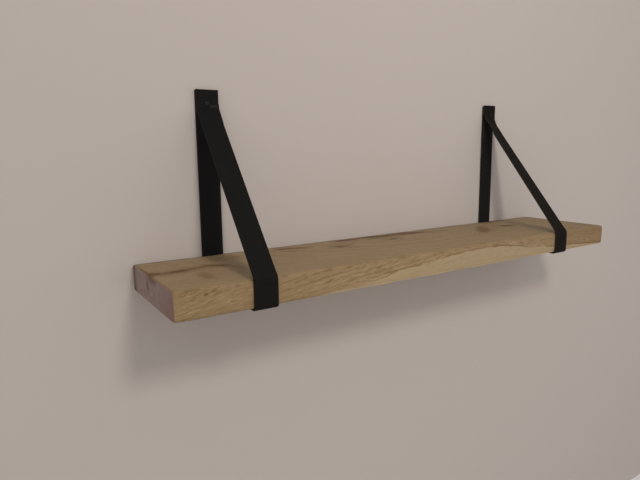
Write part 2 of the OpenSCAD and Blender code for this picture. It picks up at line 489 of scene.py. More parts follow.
    def _rings(self, push: Socket) -> tuple[Socket, Socket]:
        """Draws the year rings round the heart of the tree.

        Args:
            push: How far the knots push them aside.

        Returns:
            How pale the wood is, and how far along its year each point is.
        """
        put = self.put
        across = put("VectorMath", self.flowing, (0.0, 1.0, 1.0), operation="MULTIPLY")
        radius = put("VectorMath", across, out="Value", operation="LENGTH")
        radius = put("Math", radius, push)
        uneven = put("TexNoise", W=radius, Scale=1 / 19, Detail=1.0, noise_dimensions="1D")
        radius = put("Math", uneven, 14.0, radius, operation="MULTIPLY_ADD")
        years = put("Math", radius, 1 / self.oak.ring, operation="MULTIPLY")
        phase = put("Math", years, operation="FRACT")
        return put("FloatCurve", Value=phase, curve=(
            (0, 0.55), (0.07, 0.15), (0.25, 0.35), (0.5, 0.75), (0.8, 0.85), (1, 0.55))), phase

    def _pores(self, phase: Socket) -> Socket:
        """Draws the open pores: short dark dashes, thickest in the spring wood.

        Real pores are 0.3 mm wide. These are 0.8 mm, so that the render shows them.

        Args:
            phase: How far along its year each point is.

        Returns:
            How deep each point lies in a pore.
        """
        dash = self.put("MapRange", self._clouds(self.leaning, 0.8, 1.0, 0.06), 0.58, 0.7)
        spring = self.put("MapRange", phase, 0.1, 0.6, 1.0, 0.35)
        return self.put("Math", dash, spring, operation="MULTIPLY")

    def _crack(self) -> tuple[Socket, Socket]:
        """Draws the long dark line that wanders over the top behind the middle.

        Returns:
            The line itself, and the brown stain beside it.
        """
        put = self.put
        line = put("MapRange", self._along(*self.oak.crack_way), 0, 1, -153.0, -3.0)
        line = put("Math", self._clouds(self.flowing, 8.0, 2.0), 8.0, line,
                   operation="MULTIPLY_ADD")
        away = self._apart(self.y, line)
        # The stain stays near the top
        force = put("Math", self._along(*self.oak.crack_force),
                    put("MapRange", self.z, TOP_Z - 10.0, TOP_Z - 3.0), operation="MULTIPLY")
        thin, wide = (put("Math", put("MapRange", away, near, far, 1.0, 0.0,
                                      interpolation_type="SMOOTHSTEP"), force,
                          operation="MULTIPLY") for near, far in ((1.2, 6.5), (2.0, 24.0)))
        return thin, wide

    def _sapwood(self) -> tuple[Socket, Socket, Socket]:
        """Draws the paler sapwood along the lower front edge, from a fifth of the way.

        Returns:
            Where the sapwood is, the dark line along its edge, and a painted highlight of a
            raised ridge above that.
        """
        put = self.put
        height = put("MapRange", self._along(*self.oak.sap_edge), 0, 1, -303.0, -239.0)
        ripple = put("Math", self._clouds(self.flowing, 14.0, 2.0), -0.5)
        height = put("Math", ripple, 6.0, height, operation="MULTIPLY_ADD")
        inside = put("Math", height, self.z, operation="SUBTRACT")
        inside = put("Math", inside, put("Math", self.y, 208.8), operation="SUBTRACT")
        broken = self._clouds(self.flowing, 8.0, 1.0, 0.15)
        # Over the middle the painted highlight of the ridge climbs away from the dark line, up
        # to 12 mm
        climb = put("MapRange", self.x, 480.0, 600.0, 1.5, 12.0)
        lines = []
        for rise, near, far, low, high, shown in (
                (1.0, 0.3, 1.6, 0.34, 0.5, ((0, 0), (0.32, 0.1), (0.37, 0.8), (1, 1))),
                (climb, 0.4, 1.8, 0.6, 0.45, (
                    (0, 0), (0.37, 0), (0.4, 0.5), (0.5, 0.6), (0.58, 0.8), (0.62, 1),
                    (0.7, 1), (0.74, 0), (1, 0)))):
            away = put("Math", put("Math", inside, rise), operation="ABSOLUTE")
            line = put("MapRange", away, near, far, 1.0, 0.0)
            for mask in (put("MapRange", broken, low, high), self._along(*shown)):
                line = put("Math", line, mask, operation="MULTIPLY")
            lines.append(line)
        return put("MapRange", inside, -0.4, 1.0), lines[0], lines[1]


@dataclass(frozen=True)
class BlackLeather(Finish):
    """Thick saddle leather, dyed black through: a fine grain outside, a dull nap inside.

    The pattern reads the strip's own flat place, so that it follows the bends.
    """

    title: str = "black_leather"
    grain_side: str = "151514"
    flesh_side: str = "1e1c1c"
    cut_edge: str = "201e1b"
    # Paler leather for random scuffs, and for the painted light that the wear attribute lays
    # on
    worn: str = "2b2927"
    thickness: float = 3.0

    def surface(self, tree: Tree) -> Socket:
        """Builds the leather, with its two sides and its cut edges.

        Args:
            tree: The node tree that gets the nodes.

        Returns:
            The shader's output.
        """
        put = partial(add, tree)
        flat = put("Attribute", out="Vector", attribute_name="flat_place")
        place = put("VectorMath", flat, Scale=1 / MM, operation="SCALE")
        depth = put("SeparateXYZ", place, out="Z")
        outside = put("MapRange", depth, 0.35 - self.thickness, 0.1 - self.thickness)
        inside = put("MapRange", depth, -0.35, -0.1)
        edge = put("Math", put("Math", 1.0, outside, operation="SUBTRACT"), inside,
                   operation="SUBTRACT", use_clamp=True)
        # Grain cells of 1.1 mm: real ones are about half of that, too fine for the render
        cells = put("TexVoronoi", place, Scale=1 / 1.1, out="Distance", feature="SMOOTH_F1")
        nap = put("TexNoise", place, Scale=1 / 0.6, Detail=3.0)
        cloud = put("TexNoise", place, Scale=1 / 45, Detail=3.0)
        scuff_and_painted_light = put("TexNoise", put("Mapping", place, Scale=(0.35, 1.0, 1.0)), Scale=1 / 5,
                    Detail=4.0)
        # Random scuffs, plus the wear attribute, which holds a painted highlight and painted
        # light
        scuff_and_painted_light = put("Math", put("MapRange", scuff_and_painted_light, 0.62, 0.74, 0.0, 0.25),
                    put("Attribute", out="Fac", attribute_name="wear"), use_clamp=True)
        rough = put("MapRange", cloud, 0.3, 0.7, 0.62, 0.76)
        rough = put("Math", inside, 0.2, rough, operation="MULTIPLY_ADD", use_clamp=True)
        relief = put("Math", put("Math", cells, outside, operation="MULTIPLY"),
                     put("Math", nap, 0.6, operation="MULTIPLY"))
        return put("BsdfPrincipled", IOR=1.5, Specular_IOR_Level=0.06, Roughness=rough,
                   Normal=put("Bump", 0.3, 0.15 * MM, Height=relief), Base_Color=coated(
                       tree, self.grain_side, (self.flesh_side, inside),
                       (self.cut_edge, edge), (self.worn, scuff_and_painted_light)))


@dataclass(frozen=True)
class BlackenedSteel(Finish):
    """Steel screws with a black bake coat, rubbed bright in a few places."""

    title: str = "black_coated_steel"
    coat: str = "070707"
    bare: str = "6c6c6e"
    rubbed: float = 0.6

    def surface(self, tree: Tree) -> Socket:
        """Builds the coat and the rubbed spots.

        Args:
            tree: The node tree that gets the nodes.

        Returns:
            The shader's output.
        """
        put = partial(add, tree)
        where = put("TexCoord", out="Object")
        rub = put("TexNoise", where, Scale=1 / (0.9 * MM), Detail=1.0)
        rub = put("MapRange", rub, 0.58, 0.66, 0.0, self.rubbed)
        fine = put("TexNoise", where, Scale=1 / (0.35 * MM), Detail=2.0)
        return put("BsdfPrincipled", Metallic=rub, Specular_IOR_Level=0.2,
                   Base_Color=coated(tree, self.coat, (self.bare, rub)),
                   Roughness=put("MapRange", fine, 0.3, 0.7, 0.42, 0.55),
                   Normal=put("Bump", 0.2, 0.05 * MM, Height=fine))


@dataclass(frozen=True)
class GreyNylon(Finish):
    """Moulded nylon of a wall plug: light grey, slightly waxy."""

    title: str = "moulded_nylon"
    body: str = "b9b8b2"
    stain: str = "a3a29b"

    def surface(self, tree: Tree) -> Socket:
        """Builds the nylon with the faint flow marks of its mould.

        Args:
            tree: The node tree that gets the nodes.

        Returns:
            The shader's output.
        """
        put = partial(add, tree)
        along = put("Mapping", put("TexCoord", out="Object"), Scale=(1.0, 0.25, 1.0))
        flow = put("TexNoise", along, Scale=1 / (2.5 * MM), Detail=3.0)
        return put("BsdfPrincipled", IOR=1.53, Subsurface_Weight=0.08,
                   Subsurface_Radius=(0.004, 0.004, 0.004),
                   Base_Color=coated(tree, self.body, (self.stain, flow)),
                   Roughness=put("MapRange", flow, 0.3, 0.7, 0.4, 0.52),
                   Normal=put("Bump", 0.15, 0.1 * MM, Height=flow))


def seen_ray(tree: Tree) -> Socket:
    """Tells what the camera sees, straight, in gloss or through glass.

    Args:
        tree: The node tree that gets the nodes.

    Returns:
        1 for such a ray, and else 0.
    """
    kinds = add(tree, "LightPath").node.outputs
    seen = kinds["Is Camera Ray"]
    for other in ("Is Glossy Ray", "Is Transmission Ray"):
        seen = add(tree, "Math", seen, kinds[other], operation="MAXIMUM")
    return seen


@dataclass(frozen=True)
class StudioPaint(Finish):
    """Matt paint of the floor and the backdrop."""

    title: str = "backdrop_paint"
    colour: str = "bfb6af"
    one_sided: bool = False

    def surface(self, tree: Tree) -> Socket:
        """Builds the paint.

        A one-sided backdrop shows only from its front, and lets all light through, so
        that the back of the shelf can be seen and is lit as the rest is.

        Args:
            tree: The node tree that gets the nodes.

        Returns:
            The shader's output.
        """
        put = partial(add, tree)
        paint = put("BsdfDiffuse", linear(self.colour), 0.6)
        if not self.one_sided:
            return paint
        front = put("Math", 1.0, put("NewGeometry", out="Backfacing"), operation="SUBTRACT")
        shows = put("Math", seen_ray(tree), front, operation="MULTIPLY")
        return put("MixShader", shows, put("BsdfTransparent"), paint)


def in_scene(name: str, data: bpy.types.ID) -> bpy.types.Object:
    """Makes an object of some data and links it to the scene.

    Args:
        name: The object's name.
        data: A mesh, a lamp or a camera.

    Returns:
        The new object, at the origin.
    """
    made = bpy.data.objects.new(name, data)
    bpy.context.scene.collection.objects.link(made)
    return made


def as_object(name: str, work: Mesh, sharp_above: float = 35.0) -> bpy.types.Object:
    """Turns a finished bmesh into an object of the scene, smooth with sharp edges.

    Args:
        name: The piece's name.
        work: The mesh, which is freed.
        sharp_above: The angle in degrees above which an edge stays sharp.

    Returns:
        The new object, at the origin.
    """
    bmesh.ops.recalc_face_normals(work, faces=work.faces)
    mesh = bpy.data.meshes.new(name)
    work.to_mesh(mesh)
    work.free()
    for face in mesh.polygons:
        face.use_smooth = True
    mesh.set_sharp_from_angle(angle=math.radians(sharp_above))
    return in_scene(name, mesh)


def hand_in(name: str, work: Mesh, sharp_above: float, finish: Finish, node: str,
            place: Matrix | None = None) -> None:
    """Makes a piece of a mesh in millimetres, and lets it stand for its node.

    Args:
        name: The piece's name.
        work: The mesh, which is freed.
        sharp_above: The angle in degrees above which an edge stays sharp.
        finish: Its finish.
        node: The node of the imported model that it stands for.
        place: Where the mesh goes, in metres, if it isn't there yet.
    """
    bmesh.ops.scale(work, vec=(MM, MM, MM), verts=work.verts)
    if place:
        bmesh.ops.transform(work, matrix=place, verts=work.verts)
    piece = as_object(name, work, sharp_above)
    piece.data.materials.append(finish.material())
    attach(piece, "root")
    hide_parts(node)
    LOG.info("%s: %d faces, for node %s", name, len(piece.data.polygons), node)


def cut_away(work: Mesh, cutters: Iterable[Mesh]) -> Mesh:
    """Cuts shapes out of a closed mesh.

    Args:
        work: The mesh to cut, which is freed.
        cutters: Closed meshes, which are freed.

    Returns:
        A new mesh with the shapes cut out.
    """
    piece = as_object("being_cut", work)
    tools = [as_object("cutter", cutter) for cutter in cutters]
    for tool in tools:
        step = piece.modifiers.new("cut", "BOOLEAN")
        step.operation = "DIFFERENCE"
        step.solver = "EXACT"
        step.object = tool
    result = bmesh.new()
    result.from_object(piece, bpy.context.evaluated_depsgraph_get())
    for done in (piece, *tools):
        mesh = done.data
        bpy.data.objects.remove(done)
        bpy.data.meshes.remove(mesh)
    return result


def shifted(work: Mesh, *way: float) -> Mesh:
    """Moves a whole mesh and hands it back."""
    bmesh.ops.translate(work, vec=way, verts=work.verts)
    return work


def swung(work: Mesh, degrees: float, axis: str) -> Mesh:
    """Turns a whole mesh about an axis through the origin and hands it back."""
    bmesh.ops.rotate(work, cent=(0, 0, 0), verts=work.verts,
                     matrix=Matrix.Rotation(math.radians(degrees), 3, axis))
    return work


def rod(radius: float, low: float, high: float, sides: int = 32) -> Mesh:
    """Makes a closed upright rod, as a cutter.

    Args:
        radius: Its radius.
        low: The height of its lower end.
        high: The height of its upper end.
        sides: How many sides it has.

    Returns:
        The rod as a mesh.
    """
    work = bmesh.new()
    bmesh.ops.create_cone(work, cap_ends=True, segments=sides, radius1=radius,
                          radius2=radius, depth=high - low)
    return shifted(work, 0.0, 0.0, (low + high) / 2)


def board(*size: float) -> Mesh:
    """Makes a plain board, centred on the origin.

    Args:
        size: Its three sizes.

    Returns:
        The board as a mesh.
    """
    work = bmesh.new()
    bmesh.ops.create_cube(work, size=1.0)
    bmesh.ops.scale(work, vec=size, verts=work.verts)
    return work


def round_off(work: Mesh, edges: list[bmesh.types.BMEdge], radius: float, steps: int) -> None:
    """Rounds edges of a mesh off, with this many faces over each."""
    bmesh.ops.bevel(work, geom=edges, offset=radius, offset_type="OFFSET", segments=steps,
                    profile=0.5, affect="EDGES", material=-1)


def slice_at(work: Mesh, axis: int, stations: Iterable[float]) -> None:
    """Cuts a mesh into slices square to one axis, with nothing removed.

    Args:
        work: The mesh.
        axis: The number of the axis.
        stations: Where the cuts lie on it.
    """
    normal = Vector((0.0, 0.0, 0.0))
    normal[axis] = 1.0
    for station in stations:
        bmesh.ops.bisect_plane(work, geom=[*work.verts, *work.edges, *work.faces],
                               plane_co=normal * station, plane_no=normal)


def profile(work: Mesh, outline: Points) -> tuple[list, list]:
    """Draws an outline beside the upright axis, ready to be spun.

    Args:
        work: The mesh that gets it.
        outline: The distance from the axis and the height of each point.

    Returns:
        Its corners and the edges between them.
    """
    verts = [work.verts.new((r, 0.0, z)) for r, z in outline]
    return verts, [work.edges.new(pair) for pair in zip(verts, verts[1:])]


def turned(outline: Points, sides: int = 48) -> Mesh:
    """Turns an outline about the upright axis, as on a lathe.

    Args:
        outline: Radius and height of each point, from one end to the other.
        sides: How many sides the turning has.

    Returns:
        The turned shape, closed where the outline meets the axis or itself.
    """
    work = bmesh.new()
    verts, edges = profile(work, outline)
    if outline[0][0] > 0 and outline[-1][0] > 0:
        edges.append(work.edges.new((verts[-1], verts[0])))
    bmesh.ops.spin(work, geom=[*verts, *edges], cent=(0, 0, 0), axis=(0, 0, 1),
                   angle=2 * math.pi, steps=sides, use_merge=True)
    bmesh.ops.remove_doubles(work, verts=work.verts, dist=1e-4)
    return work


def eased(share: float) -> float:
    """Goes from 0 to 1 with no sudden start or stop."""
    share = min(max(share, 0.0), 1.0)
    return share * share * (3.0 - 2.0 * share)


def between(at: float, *keys: tuple[float, float]) -> float:
    """Reads a value that eases from key to key.

    Args:
        at: The place to read.
        keys: Places and values, in order.

    Returns:
        The value there. Outside the keys it is that of the nearest one.
    """
    if at <= keys[0][0]:
        return keys[0][1]
    for (a, low), (b, high) in zip(keys, keys[1:]):
        if at <= b:
            return low + (high - low) * eased((at - a) / (b - a))
    return keys[-1][1]


class Side(Enum):
    """The two loops of the shelf, with the place of each along the wall."""

    LEFT = 0.0
    RIGHT = 702.0

    @property
    def word(self) -> str:
        """The side's name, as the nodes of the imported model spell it."""
        return self.name.lower()


@dataclass
class Plank:
    """The oak board, with its edges eased by hand."""

    length: float = RIGHT_END - LEFT_END
    depth: float = 203.0
    thickness: float = TOP_Z - UNDER_Z
    centre: Triple = (365.0, MIDDLE_Y, -273.0)
    arris: float = 3.0
    front_arris: float = 7.0
    # Right of the right strap the top front edge has kept its corner
    crisp_arris: float = 3.0
    crisp_from: float = 360.0
    crisp_full: float = 480.0
    end_arris: float = 2.0
    pilot: float = 3.7
    pilot_depth: float = 12.7
    slice_along: float = 10.0
    slice_across: float = 14.5
    # How deep the edges are worn, and how far from the edge that fades
    wear: float = 1.5
    wear_reach: float = 5.0
    # How far the top and underside, and the front and back, wander in
    level_wander: float = 0.25
    upright_wander: float = 0.35
    finish: Finish = field(default_factory=OiledOak)

    def build(self) -> None:
        """Builds the board and dresses it."""
        work = cut_away(self._sawn(), [self._pilot_hole(side) for side in Side])
        self._weather(work)
        hand_in("oak_plank", work, 50.0, self.finish, "plank")

    def _sawn(self) -> Mesh:
        """Saws the board, eases its edges and slices it for the hand work.

        Returns:
            The board, in its place.
        """
        work = board(self.length, self.depth, self.thickness)
        for radius, steps, at_front in ((self.front_arris, 8, True), (self.arris, 4, False)):
            round_off(work, [e for e in work.edges if self._is_sharp(e, at_front)], radius,
                      steps)
        half = self.length / 2
        rims = [e for e in work.edges
                if all(abs(abs(v.co.x) - half) < 1e-4 for v in e.verts)]
        round_off(work, rims, self.end_arris, 3)
        for axis, size, step in ((0, self.length, self.slice_along),
                                 (1, self.depth, self.slice_across)):
            slice_at(work, axis, [step * k - size / 2 for k in range(1, int(size / step))])
        slice_at(work, 2, [-10.0, 0.0, 10.0])
        self._tighten(work)
        return shifted(work, *self.centre)

    def _is_sharp(self, edge: bmesh.types.BMEdge, at_front: bool) -> bool:
        """Picks the sawn top front edge, or the three other long ones.

        Args:
            edge: The edge to look at.
            at_front: Whether the top front one is wanted, or else the others.

        Returns:
            Whether the edge is wanted.
        """
        first, last = (vert.co for vert in edge.verts)
        middle = (first + last) / 2
        long = abs(first.x - last.x) > self.length / 2
        corner = (abs(abs(middle.y) - self.depth / 2) < 0.01
                  and abs(abs(middle.z) - self.thickness / 2) < 0.01)
        return long and corner and at_front == (middle.y < 0 < middle.z)

    def _tighten(self, work: Mesh) -> None:
        """Draws the round top front edge in to a smaller radius towards the right end.

        Args:
            work: The board, still centred on the origin.
        """
        for vert in work.verts:
            forward = -vert.co.y - self.depth / 2 + self.front_arris
            upward = vert.co.z - self.thickness / 2 + self.front_arris
            if min(forward, upward) < 1e-4:
                continue
            radius = between(vert.co.x, (self.crisp_from, self.front_arris),
                             (self.crisp_full, self.crisp_arris))
            angle = math.atan2(upward, forward)
            reach = radius - self.front_arris + math.hypot(forward, upward)
            vert.co.y = radius - self.depth / 2 - reach * math.cos(angle)
            vert.co.z = self.thickness / 2 - radius + reach * math.sin(angle)

    def _pilot_hole(self, side: Side) -> Mesh:
        """Makes the cutter of the hole for a screw under the plank."""
        return shifted(rod(self.pilot / 2, UNDER_Z - 5.0, UNDER_Z + self.pilot_depth, 20),
                       side.value, MIDDLE_Y, 0.0)

    def _weather(self, work: Mesh) -> None:
        """Wears the long edges unevenly and lets the faces wander a little, inwards only.

        Args:
            work: The board, in its place.
        """
        half = Vector((self.length, self.depth, self.thickness)) / 2
        for vert in work.verts:
            place = vert.co - Vector(self.centre)
            gap_y = half.y - abs(place.y)
            gap_z = half.z - abs(place.z)
            corner = math.exp(-math.hypot(gap_y, gap_z) / self.wear_reach)
            if min(gap_y, gap_z) >= 0.01 and corner <= 0.2:
                continue
            # Each long edge has its own row in the noise, so that no two wear alike
            row = 40.0 * (place.y > 0) + 90.0 * (place.z > 0)
            worn = 0.5 + 0.5 * noise.noise(Vector((place.x / 60.0, row, 0.0)))
            worn += 0.35 * noise.noise(Vector((place.x / 17.0, row, 5.0)))
            wander = 0.5 + 0.5 * noise.noise(Vector((place.x / 150.0, place.y / 60.0, 9.0)))
            step = self.wear * max(worn, 0.0) * corner
            if gap_z < 4.0:
                vert.co.z -= math.copysign(self.level_wander * wander + step, place.z)
            if gap_y < 4.0:
                vert.co.y -= math.copysign(self.upright_wander * wander + step, place.y)


@dataclass(frozen=True)
class Stretch:
    """One straight stretch of a strap and the turn after it."""

    straight: float
    turn: float
    hollow: float


@dataclass
class StrapRoute:
    """The line that a strap follows, in the side view.

    The first number of a point is its distance from the wall, and the second its height.
    The line is the strap's inner face, and lengths are counted in mid leather.
    """

    thickness: float = 3.0
    wall_top: float = 22.0
    base: float = -294.3
    front: float = 206.6
    corner_r: float = 3.5
    front_bend_z: float = -256.5
    front_bend_r: float = 15.0
    tab_front: float = 6.3
    top_bend_z: float = -4.75
    top_bend_r: float = 8.0
    tab_top: float = 24.0

    def __post_init__(self) -> None:
        """Works out the slope, and where each stretch and bend begins."""
        run = self.front - self.front_bend_r - self.tab_front - self.top_bend_r
        rise = self.top_bend_z - self.front_bend_z
        apart = math.hypot(run, rise)
        radii = self.front_bend_r + self.thickness + self.top_bend_r
        lean = math.degrees(math.atan2(run, rise) + math.asin(radii / apart))
        self.stretches = (
            Stretch(self.wall_top - self.base - self.corner_r, 90.0, self.corner_r),
            Stretch(self.front - self.thickness - 2 * self.corner_r, 90.0, self.corner_r),
            Stretch(self.front_bend_z - self.base - self.corner_r, lean, self.front_bend_r),
            Stretch(math.sqrt(apart ** 2 - radii ** 2), -lean, self.top_bend_r),
            Stretch(self.tab_top - self.top_bend_z, 0.0, 0.0))
        self.legs: list[tuple[float, float, Vector, float, Stretch]] = []
        at, heading = 0.0, -90.0
        place = Vector((self.thickness, self.wall_top))
        for one in self.stretches:
            arc = math.radians(abs(one.turn)) * (one.hollow + self.thickness / 2)
            self.legs.append((at, arc, place.copy(), heading, one))
            place = self._around(place, heading, one, 1.0)[0]
            at += one.straight + arc
            heading += one.turn
        self.length = at

    @staticmethod
    def ahead(heading: float) -> Vector:
        """The direction of a heading in degrees."""
        return Vector((math.cos(math.radians(heading)), math.sin(math.radians(heading))))

    @staticmethod
    def inward(heading: float) -> Vector:
        """The direction to the left of a heading, which is the loop's inside."""
        return Vector((-math.sin(math.radians(heading)), math.cos(math.radians(heading))))

    def _around(self, place: Vector, heading: float, one: Stretch, share: float
                ) -> tuple[Vector, float]:
        """Follows a stretch and a share of its turn.

        Args:
            place: Where the stretch begins.
            heading: Which way it goes there.
            one: The stretch.
            share: The share of its turn, from 0 to 1.

        Returns:
            The point and the heading after them.
        """
        pivot = one.hollow if one.turn >= 0 else -self.thickness - one.hollow
        centre = place + self.ahead(heading) * one.straight + self.inward(heading) * pivot
        now = heading + one.turn * share
        return centre - self.inward(now) * pivot, now

    def at(self, length: float) -> tuple[Vector, float]:
        """Finds a point of the strap.

        Args:
            length: How far it lies from the end behind at the wall.

        Returns:
            The point on the inner face, and the heading there.
        """
        for start, arc, place, heading, one in self.legs:
            gone = length - start
            if gone <= one.straight or one is self.stretches[-1]:
                return place + self.ahead(heading) * gone, heading
            if gone <= one.straight + arc:
                return self._around(place, heading, one, (gone - one.straight) / arc)
        raise ValueError("a length beyond the strap's end")


@dataclass
class Strap:
    """One loop: a single strip of leather, cut, eased, punched and wrapped."""

    side: Side
    # How far the loop lies to the right of its wall screw: at that screw, at the wall end
    # of its floor, and at the plank's front
    lean: Triple
    # How far the slope is turned about its own line, in degrees, at its foot and its top
    twist: tuple[float, float]
    # How far the left and right corner of the free end stand off
    lift: tuple[float, float]
    # How far the slope stands off its plain line at its foot and its top
    stand_off: tuple[float, float]
    # How far the strip's left and right edge bulge at the bend under the screw
    curl: tuple[float, float]
    # How far down from the screw that bulge reaches
    curl_reach: float
    # How strongly a painted highlight lies on the bend right of the screw
    crease_highlight: float
    width: float = 38.0
    edge_ease: float = 0.6
    wall_hole: float = 5.5
    base_hole: float = 4.0
    # Up to this length the strip's start is painted lighter
    lightened_until: float = 90.0
    head: float = 9.5
    route: StrapRoute = field(default_factory=StrapRoute)
    finish: Finish = field(default_factory=BlackLeather)

    def build(self) -> None:
        """Makes the loop and dresses it."""
        work = cut_away(self._cut_strip(), [
            shifted(rod(size / 2, -self.route.thickness - 1.0, 1.0), -self._shift(place),
                    place, 0.0) for place, size in self._holes()])
        bmesh.ops.remove_doubles(work, verts=work.verts, dist=0.01)
        kept = work.verts.layers.float_vector.new("flat_place")
        # The wear attribute holds painted light: a highlight on the bend by the screw, and
        # lightening behind the slope
        wear = work.verts.layers.float.new("wear")
        for vert in work.verts:
            vert[kept] = vert.co * MM
            vert[wear] = self._wear(vert.co.x, vert.co.y)
        self._wrap(work)
        word = self.side.word
        hand_in(f"leather_strap_{word}", work, 40.0, self.finish,
                f"strap_{word}")

    def _holes(self) -> list[tuple[float, float]]:
        """Lists the holes of the strip.

        Returns:
            The length at which each is punched, and its size.
        """
        route = self.route
        floor = route.legs[1][0] - MIDDLE_Y - route.thickness - route.corner_r
        return [(route.wall_top, self.wall_hole), (floor, self.base_hole),
                (route.length - route.tab_top, self.wall_hole)]

    def _wear(self, across: float, length: float) -> float:
        """Tells how strong the painted light is at a place of the flat strip.

        Args:
            across: The place across the strip, from its middle.
            length: The place along it.

        Returns:
            How strong it is, from 0 to 1.
        """
        above = length - self.route.length + self.route.tab_top
        ridge = math.exp(-((above + 4.2) / 1.7) ** 2)
        # The strip's start, on the wall in the shade behind the slope, is painted lighter
        if length < self.lightened_until:
            return 0.8 * eased((self.lightened_until - length) / 50.0)
        # A painted highlight on the bend right of the screw
        return self.crease_highlight * ridge * eased((across - 3.0) / 3.0) * eased((19.0 - across) / 4.0)

    def _cut_strip(self) -> Mesh:
        """Cuts the flat strip, divided finely in its bends and round its screws.

        Returns:
            The strip, with its inner face at height 0.
        """
        route = self.route
        work = shifted(board(self.width, route.length, route.thickness), 0.0,
                       route.length / 2, -route.thickness / 2)
        round_off(work, work.edges[:], self.edge_ease, 3)
        fine = [(start + one.straight - 6.0, start + one.straight + arc + 6.0)
                for start, arc, _, _, one in route.legs if arc > 0]
        fine += [(place - 11.0, place + 11.0) for place, _ in self._holes()]
        stations, at = [], 2.0
        while at < route.length - 2.0:
            stations.append(at)
            at += 1.0 if any(a <= at <= b for a, b in fine) else 5.0
        slice_at(work, 1, stations)
        slice_at(work, 0, [*range(-8, 9), -15.0, -11.5, 11.5, 15.0])
        return work

    def _wrap(self, work: Mesh) -> None:
        """Wraps the flat strip round the plank and lets it settle.

        Args:
            work: The flat strip.
        """
        route = self.route
        half = route.thickness / 2
        for vert in work.verts:
            across, length, height = vert.co
            above = length - route.length + route.tab_top
            point, heading = route.at(length)
            inward = route.inward(heading)
            normal = Vector((0.0, -inward.x, inward.y))
            angle = math.radians(self._twist(length))
            wide = Vector((math.cos(angle), 0.0, 0.0)) + normal * math.sin(angle)
            thick = normal * math.cos(angle) - Vector((math.sin(angle), 0.0, 0.0))
            middle = Vector((self.side.value + self._shift(length), -point.x, point.y))
            middle -= normal * (half + self._stand_off(across, length))
            vert.co = middle + wide * across + thick * (height + half)
            # The corners of the free end stand off the layer behind it
            vert.co.y -= self.lift[across > 0] * (across / (self.width / 2)) ** 2 * between(
                above, (-30.0, 0.0), (2.0, 0.8), (24.0, 1.0))
            vert.co += self._bulge(across, above)
            if length > route.legs[4][0]:
                vert.co.y -= self._swell(across + self._shift(length), above, height)

    def _shift(self, length: float) -> float:
        """Tells how far the strip lies to the right of its screw.

        Args:
            length: The place along the strip.

        Returns:
            The shift there.
        """
        legs = self.route.legs
        top, base, front = self.lean
        if length < legs[3][0]:
            return between(length, (self.route.wall_top, top), (legs[1][0] - 30.0, base),
                           (legs[2][0], front))
        share = (length - legs[3][0]) / (legs[4][0] - legs[3][0])
        return front + (top - front) * min(share, 1.0)

    def _twist(self, length: float) -> float:
        """Tells how far the slope is twisted, in degrees.

        Args:
            length: The place along the strip.

        Returns:
            The twist there.
        """
        low, high = self.route.legs[3][0], self.route.legs[4][0]
        foot, top = self.twist
        if length < low + 12.0:
            return between(length, (low - 24.0, 0.0), (low + 12.0, foot))
        if length > high - 24.0:
            return between(length, (high - 24.0, top), (high + 2.0, 0.0))
        return foot + (top - foot) * ((length - low - 12.0) / (high - low - 36.0))

    def _stand_off(self, across: float, length: float) -> float:
        """Tells how far the slope stands off its plain line, with soft ends.

        Args:
            across: The place across the strip, from its middle.
            length: The place along it.

        Returns:
            The distance there.
        """
        low, high = self.route.legs[3][0], self.route.legs[4][0]
        side = eased((abs(across) - 3.0) / 11.0)
        share = min(max((length - low) / (high - low), 0.0), 1.0)
        reach = self.stand_off[0] + (self.stand_off[1] - self.stand_off[0]) * share
        return reach * between(length, (low - 14.0, 0.0), (low + 10.0, 1.0)) * between(
            length, (high - 8.0 - 12.0 * side, 1.0), (high + 8.0 * side, 0.0))

    def _bulge(self, across: float, above: float) -> Vector:
        """Tells how far the strip's sides swing out round the bend under the screw.

        Args:
            across: The place across the strip, from its middle.
            above: The height above the screw, along the strip.

        Returns:
            The move there.
        """
        far = self.curl_reach
        share = between(above, (-far, 0.0), (-0.65 * far, 0.7), (-8.0, 1.0), (-4.5, 1.0),
                        (2.5, 0.15), (9.0, 0.0))
        return (Vector((0.0, -0.94, 0.34)) * self.curl[across > 0]
                * eased((abs(across) - 3.0) / 11.0) * share)

    def _swell(self, across: float, above: float, height: float) -> float:
        """Tells how far the leather swells round the screw head that presses it.

        Args:
            across: The place across the strip, from its screw.
            above: The height above the screw, along the strip.
            height: The place in the leather, from 0 at its inner face down.

        Returns:
            The swelling there.
        """
        away = math.hypot(across, above) - self.head / 2
        outer = -height / self.route.thickness
        return 0.4 * outer * eased(away / 0.8) * math.exp(-max(away, 0.0) / 2.6)


